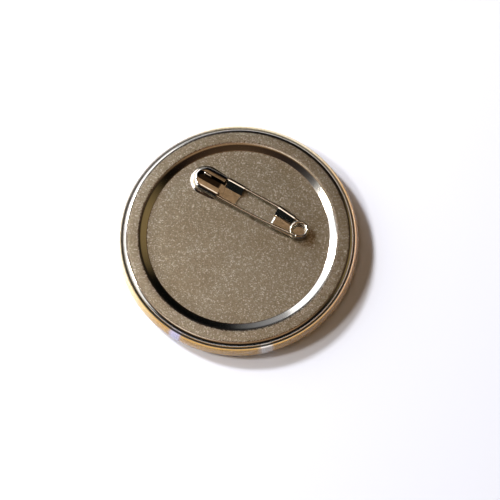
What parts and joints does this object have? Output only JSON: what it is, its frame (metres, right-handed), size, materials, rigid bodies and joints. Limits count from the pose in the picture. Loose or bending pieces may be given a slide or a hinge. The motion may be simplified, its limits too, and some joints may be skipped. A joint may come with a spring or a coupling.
{
  "type": "button badge",
  "caption": "Round tin button badge with a printed, film-covered front and a safety pin welded in the recess of its metal back.",
  "frame": {"origin": "lowest point of the printed front, on the badge's own axis", "axes": "+Z out of the metal back along the badge's axis, +X along the pin from its clasp to its coil, +Y towards the edge that the pin is nearer to"},
  "size_m": [0.058, 0.058, 0.0064],
  "materials": {
    "shell_tinplate": "bright tinplate",
    "printed_paper": "printed, golden yellow",
    "clear_film": "clear glossy polyester film",
    "back_tinplate": "matt grained tinplate with fine sparkle",
    "saddle_nickel": "bright nickel plate",
    "clasp_nickel": "bright nickel plate",
    "wire_nickel": "bright nickel-plated spring wire"
  },
  "bodies": {
    "root": {"front_shell": "shell_tinplate", "printed_disc": "printed_paper", "clear_film": "clear_film", "back_plate": "back_tinplate", "clasp_saddle": "saddle_nickel", "coil_saddle": "saddle_nickel", "clasp_cap": "clasp_nickel", "pin_wire": "wire_nickel"},
    "needle_arm": {"needle": "wire_nickel"}
  },
  "joints": [
    {"name": "needle_open", "type": "hinge", "parent": "root", "child": "needle_arm", "pos_m": [0.01158, 0.0062, 0.00599], "axis": [0.9804, 0.0253, -0.1955], "range_deg": [0, 180], "stiffness_Nm_per_rad": 0.001}
  ]
}
